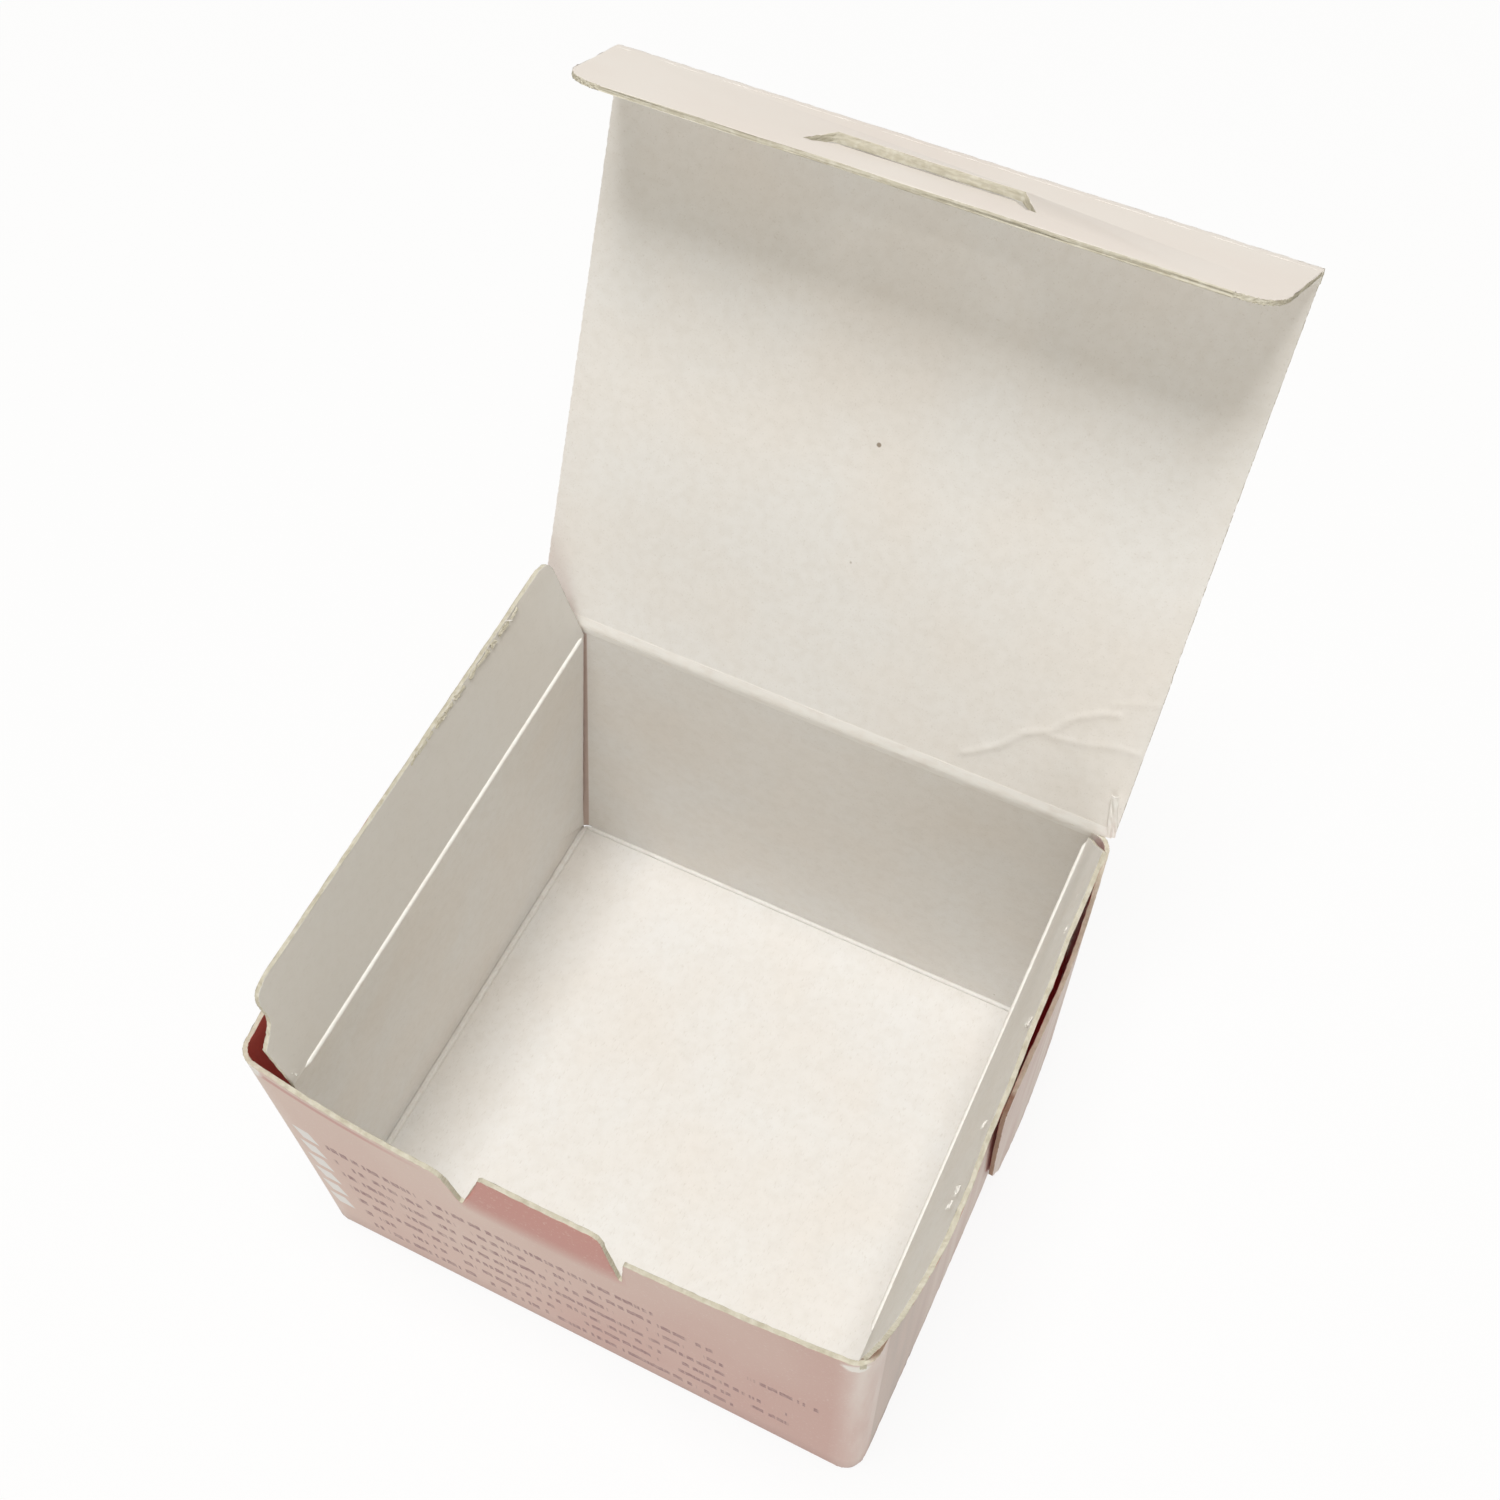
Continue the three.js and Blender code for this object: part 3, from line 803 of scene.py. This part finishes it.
class CARTON_OT_creases(bpy.types.Operator):
    """Bridge the lid's crease and the tuck flap's crease with folded board"""

    bl_idname = "carton.creases"
    bl_label = "Creases of the lid"

    def execute(self, context):
        own = sizes()
        half = own.board / 2
        proud = own.board + 0.06 * MM

        def on_lid(along, above):
            point = from_lid(0, along, above)
            return (point.y, point.z)

        wall = lid_line.y - half
        top = lid_line.z
        path = [(wall, top - 0.9 * MM), (wall, top - 0.45 * MM), (wall, top - 0.1 * MM),
                (wall + 0.05 * MM, top + 0.15 * MM), on_lid(0.3 * MM, half), on_lid(0.6 * MM, half),
                on_lid(1.1 * MM, half)]
        strip = folded_strip("back_crease", own.lid_width - 0.6 * MM, path, 120, 0.025 * MM, proud, 3)
        # The back wall between its bends is narrower than the lid
        wall_to_lid = 65.2 / 69.4
        edit(strip)
        pick(strip, "VERT", lambda vertex: vertex.co.z < top + 0.05 * MM)
        bpy.ops.transform.resize(value=(wall_to_lid, 1, 1), center_override=(0, wall, top))
        finish_editing()
        self.dress(strip, Vector((0, 1, -0.2)))
        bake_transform(strip)

        far = own.lid_length
        turn = [on_lid(far - 1.0 * MM, half), on_lid(far - 0.4 * MM, half), on_lid(far + 0.0 * MM, 0.3 * MM),
                on_lid(far + 0.2 * MM, 0.5 * MM), on_lid(far + half, 0.9 * MM), on_lid(far + half, 1.6 * MM)]
        strip = folded_strip("tuck_crease", own.lid_width - 0.1 * MM, turn, 120, 0.03 * MM, proud, 5)
        away = from_lid(0, 1) - from_lid(0, 0)
        inward = from_lid(0, 0, 1) - from_lid(0, 0)
        self.dress(strip, away - inward)
        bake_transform(strip)
        return {"FINISHED"}

    def dress(self, strip, outward):
        give(strip, finish("pale_print"), finish("raw_edge"), finish("crease"))
        for polygon in strip.data.polygons:
            if abs(polygon.normal.x) > 0.7:
                polygon.material_index = 1
            else:
                polygon.material_index = 0 if polygon.normal.dot(outward) > 0 else 2
        smooth(strip, 60)


def bead(name, start, end, radius, segments, stray, seed):
    """A raised bead along a crease: a thin rod, let into the board, with tapered ends."""
    start, end = Vector(start), Vector(end)
    run = end - start
    deselect_all()
    bpy.ops.mesh.primitive_cylinder_add(vertices=10, radius=radius, depth=run.length, end_fill_type="TRIFAN")
    piece = named(name)
    edit(piece, "EDGE")
    pick(piece, "EDGE", lambda edge: abs((edge.verts[0].co - edge.verts[1].co).z) > 0.5 * run.length)
    bpy.ops.mesh.subdivide(number_cuts=segments)
    pick(piece, "VERT", lambda vertex: abs(vertex.co.z) > 0.499 * run.length)
    bpy.ops.transform.resize(value=(0.3, 0.3, 1), center_override=(0, 0, 0))
    pick(piece, "VERT", lambda vertex: abs(vertex.co.z) < 0.49 * run.length)
    bpy.ops.transform.vertex_random(offset=stray, uniform=1, normal=0, seed=seed)
    finish_editing()
    piece.rotation_mode = "QUATERNION"
    piece.rotation_quaternion = run.to_track_quat("Z", "Y")
    piece.location = (start + end) / 2
    place(piece)
    give(piece, finish("crease"))
    smooth(piece, 60)
    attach(piece, "tray")


class CARTON_OT_beads(bpy.types.Operator):
    """Raise the beads that the creases leave inside the tray"""

    bl_idname = "carton.beads"
    bl_label = "Beads of the tray"

    def execute(self, context):
        radius = sizes().bead
        cuts = 90
        stray = 0.015 * MM
        level = 0.6 * MM
        side, back, front = 33.55 * MM, 30.2 * MM, -30.2 * MM
        lines = {
            "floor_bead_left": ((-side, front, level), (-side, back, level)),
            "floor_bead_right": ((side, front, level), (side, back, level)),
            "floor_bead_back": ((-side, back, level), (side, back, level)),
            "floor_bead_front": ((-side, front, level), (side, front, level)),
        }
        for index, (name, (start, end)) in enumerate(lines.items()):
            wide = 1.4 if name == "floor_bead_left" else 1.0
            bead(name, start, end, wide * radius, cuts, stray, index)
        bead("flap_bead_left", (-29.22 * MM, 29.6 * MM, 47.62 * MM), (-28.46 * MM, -29.0 * MM, 47.55 * MM),
             radius, cuts, stray, 11)
        bead("flap_bead_right", (32.45 * MM, 29.6 * MM, 47.62 * MM), (33.5 * MM, -28.0 * MM, 47.6 * MM),
             radius, cuts, stray, 12)
        return {"FINISHED"}


def flake(name, body, centre, facing, length, width, thick, seed, colour="raw_edge"):
    """A torn bit of board: a thin plate, cut finer and pulled out of shape."""
    deselect_all()
    bpy.ops.mesh.primitive_plane_add(size=1)
    piece = named(name)
    edit(piece)
    bpy.ops.mesh.select_all(action="SELECT")
    bpy.ops.transform.resize(value=(length, width, 1))
    bpy.ops.mesh.subdivide(number_cuts=3)
    bpy.ops.transform.vertex_random(offset=0.16 * width, uniform=1, normal=0, seed=seed)
    finish_editing()
    apply_modifier(piece, "SOLIDIFY", thickness=thick, offset=0.0)
    piece.rotation_mode = "QUATERNION"
    piece.rotation_quaternion = facing
    piece.location = centre
    place(piece)
    give(piece, finish(colour))
    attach(piece, body)


def along_and_facing(along, facing):
    """The turn that lays a plate's length along one direction, with its face towards another."""
    along = Vector(along).normalized()
    facing = Vector(facing).normalized()
    side = facing.cross(along).normalized()
    facing = along.cross(side)
    return Matrix((along, side, facing)).transposed().to_quaternion()


def left_flap_point(y, up):
    """A point on the left dust flap's inner face, y along it and up from its crease."""
    return Vector((left_flap_crease - up * math.cos(flap_flare), y,
                   flap_crease_height + up * math.sin(flap_flare)))


def right_flap_point(y, up):
    """A point on the right dust flap's inner face, before it leans in."""
    return Vector((right_flap_crease + up * math.cos(flap_flare), y,
                   flap_crease_height + up * math.sin(flap_flare)))


class CARTON_OT_wear(bpy.types.Operator):
    """Add torn bits, fibres and the peeled strip of the worn carton"""

    bl_idname = "carton.wear"
    bl_label = "Wear"

    def execute(self, context):
        chance = random.Random(12)
        self.tears(chance)
        self.chips(chance)
        self.lid_tears()
        self.fibres()
        return {"FINISHED"}

    def tears(self, chance):
        """Torn bits along the left dust flap's free edge."""
        along = Vector((0, 1, 0))
        up = Vector((-math.cos(flap_flare), 0, math.sin(flap_flare)))
        first, step, free_edge = 22, 1.35, 12.55 * MM
        for index in range(16):
            y = (first - step * index + chance.uniform(-0.5, 0.5)) * MM
            centre = left_flap_point(y, free_edge) + Vector((0.02, 0, 0)) * MM
            lean = along + 0.35 * chance.uniform(-1, 1) * up
            flake(f"left_flap_tear_{index}", "tray", centre, along_and_facing(lean, up.cross(along)),
                  chance.uniform(0.8, 1.9) * MM, chance.uniform(0.25, 0.55) * MM, 0.12 * MM, index)

    def chips(self, chance):
        """Pale chips near the right dust flap's free edge: places along it and up it."""
        places = ((19.0, 10.2), (17.8, 10.6), (12.7, 12.0), (1.6, 12.9), (-9.6, 12.7), (-16.5, 12.8),
                  (-18.0, 12.6))
        for index, (y, up) in enumerate(places):
            centre = right_flap_point(y * MM, up * MM) - Vector((0.28, 0, 0)) * MM
            centre.x -= right_flap_lean(centre.y, centre.z)
            flake(f"right_flap_chip_{index}", "tray", centre, along_and_facing((0, 1, 0), (-1, 0, 0.3)),
                  chance.uniform(0.8, 1.5) * MM, chance.uniform(0.45, 0.8) * MM, 0.1 * MM, 40 + index,
                  colour="crease")

    def lid_tears(self):
        """The peeled strip at the lid's right hinge end, and a tear at its far left corner."""
        rise = sizes().lid_rise
        inward = Vector((0, -math.sin(rise), math.cos(rise)))
        away = Vector((0, math.cos(rise), math.sin(rise)))
        top = from_lid(33.65 * MM, 5.6 * MM, 1.3 * MM)
        foot = from_lid(34.75 * MM, 0.3 * MM, 0.5 * MM)
        flake("peeled_strip", "lid", (top + foot) / 2, along_and_facing(top - foot, inward),
              (top - foot).length, 0.9 * MM, 0.12 * MM, 61, colour="crease")
        flake("tuck_fold_tear", "lid", from_lid(-32.0 * MM, 62.5 * MM, 0.1 * MM),
              along_and_facing((1, 0, 0), away - inward), 2.2 * MM, 0.35 * MM, 0.1 * MM, 62)

    def fibres(self):
        """Loose fibres at the left dust flap: each one's ends, in millimetres."""
        ends = [((-30.6, -29.2, 51.5), (-31.6, -29.5, 51.9)), ((-28.9, -30.3, 48.3), (-28.6, -30.5, 49.0)),
                ((-28.7, -30.2, 48.2), (-28.2, -30.4, 48.7)), ((-31.6, 21.0, 60.0), (-32.2, 20.4, 60.3))]
        for index, (start, end) in enumerate(ends):
            bead(f"loose_fibre_{index}", Vector(start) * MM, Vector(end) * MM, 0.06 * MM, 5, 0.02 * MM, index)


class CARTON_OT_stage(bpy.types.Operator):
    """Set the floor, the light and the camera"""

    bl_idname = "carton.stage"
    bl_label = "Stage"

    def execute(self, context):
        self.camera(context)
        self.floor()
        self.light(context)
        return {"FINISHED"}

    def camera(self, context):
        """The lens's turns and shift from the tray, and its length and middle in picture dots."""
        picture, focal_length, middle_x, middle_y = 1500, 1888.94, 749.03, 803.05
        turn_x, turn_y, turn_z = 2.6511, 0.2401, 0.3969
        rotation = (Matrix.Rotation(turn_z, 3, "Z") @ Matrix.Rotation(turn_y, 3, "Y")
                    @ Matrix.Rotation(turn_x, 3, "X"))
        shift = Vector((-5.642, 39.375, 236.838)) * MM
        place_of_lens = -(rotation.transposed() @ shift)
        turned = rotation.transposed() @ Matrix(((1, 0, 0), (0, -1, 0), (0, 0, -1)))
        bpy.ops.object.camera_add()
        camera = bpy.context.view_layer.objects.active
        camera.name = "camera"
        camera.matrix_world = Matrix.Translation(place_of_lens) @ turned.to_4x4()
        camera.data.sensor_width = 36
        camera.data.lens = focal_length / picture * 36
        camera.data.shift_x = (picture / 2 - middle_x) / picture
        camera.data.shift_y = (middle_y - picture / 2) / picture
        camera.data.clip_start = 0.005
        context.scene.camera = camera

    def floor(self):
        """A floor that the camera sees nearly white, and that still takes the carton's shadow."""
        deselect_all()
        bpy.ops.mesh.primitive_plane_add(size=8, location=(0, 0, -0.2 * MM))
        ground = named("floor")
        recipe = Recipe("pale_floor", 0.95)
        recipe.shader.inputs["Specular IOR Level"].default_value = 0.0
        recipe.paint(rgba(colours().floor))
        tree = recipe.tree
        rays = tree.nodes.new("ShaderNodeLightPath")
        seen = recipe.sum("MAXIMUM", rays.outputs["Is Camera Ray"], rays.outputs["Is Glossy Ray"])
        seen = recipe.sum("MAXIMUM", seen, rays.outputs["Is Transmission Ray"])
        white = recipe.node("ShaderNodeEmission", Strength=1.0)
        share_of_white = 0.9
        mixed = tree.nodes.new("ShaderNodeMixShader")
        recipe.put(mixed.inputs[0], recipe.sum("MULTIPLY", seen, share_of_white))
        recipe.put(mixed.inputs[1], recipe.shader.outputs[0])
        recipe.put(mixed.inputs[2], white.outputs[0])
        recipe.put(tree.nodes["Material Output"].inputs["Surface"], mixed.outputs[0])
        give(ground, recipe.material)

    def light(self, context):
        """Soft warm light from all sides, white where the camera sees it, and two lamps."""
        world = bpy.data.worlds.new("soft_studio")
        world.use_nodes = True
        tree = world.node_tree
        background = tree.nodes["Background"]
        rays = tree.nodes.new("ShaderNodeLightPath")
        seen = tree.nodes.new("ShaderNodeMix")
        tree.links.new(rays.outputs["Is Camera Ray"], seen.inputs[0])
        seen.data_type = "RGBA"
        warm, white = (0.335, 0.303, 0.243, 1), (1, 1, 1, 1)
        seen.inputs[6].default_value = warm
        seen.inputs[7].default_value = white
        tree.links.new(seen.outputs[2], background.inputs["Color"])
        context.scene.world = world
        lamps = (("top_light", (0.0, -0.075, 0.95), (0, 0.02, 0.05), 0.32, 5.2),
                 ("front_light", (0.35, -0.85, 0.3), (0, 0, 0.07), 0.5, 1.25))
        for name, spot, target, size, power in lamps:
            bpy.ops.object.light_add(type="AREA", location=spot)
            lamp = bpy.context.view_layer.objects.active
            lamp.name = name
            lamp.data.size = size
            lamp.data.energy = power
            aim = Vector(target) - Vector(spot)
            lamp.rotation_euler = aim.to_track_quat("-Z", "Y").to_euler()
        context.scene.view_settings.view_transform = "Standard"


class CARTON_PT_panel(bpy.types.Panel):
    """The carton's pieces and settings in the sidebar"""

    bl_idname = "CARTON_PT_panel"
    bl_label = "Candy Box"
    bl_space_type = "VIEW_3D"
    bl_region_type = "UI"
    bl_category = "Candy Box"

    def draw(self, context):
        for group in (context.scene.carton_sizes, context.scene.carton_colours):
            column = self.layout.column(align=True)
            for name in group.__annotations__:
                column.prop(group, name)
        for operator in operators:
            self.layout.operator(operator.bl_idname)


operators = (CARTON_OT_stage, CARTON_OT_tray, CARTON_OT_lid, CARTON_OT_tuck,
             CARTON_OT_creases, CARTON_OT_beads, CARTON_OT_wear)
classes = (CartonSizes, CartonColours, *operators, CARTON_PT_panel)


def register():
    for kind in classes:
        bpy.utils.register_class(kind)
    bpy.types.Scene.carton_sizes = bpy.props.PointerProperty(type=CartonSizes)
    bpy.types.Scene.carton_colours = bpy.props.PointerProperty(type=CartonColours)


def unregister():
    del bpy.types.Scene.carton_colours
    del bpy.types.Scene.carton_sizes
    for kind in reversed(classes):
        bpy.utils.unregister_class(kind)


def main():
    register()
    bpy.ops.carton.stage()
    bpy.ops.carton.tray()
    bpy.ops.carton.lid()
    bpy.ops.carton.tuck()
    bpy.ops.carton.creases()
    bpy.ops.carton.beads()
    bpy.ops.carton.wear()
    bpy.context.view_layer.update()


if __name__ == "__main__":
    main()
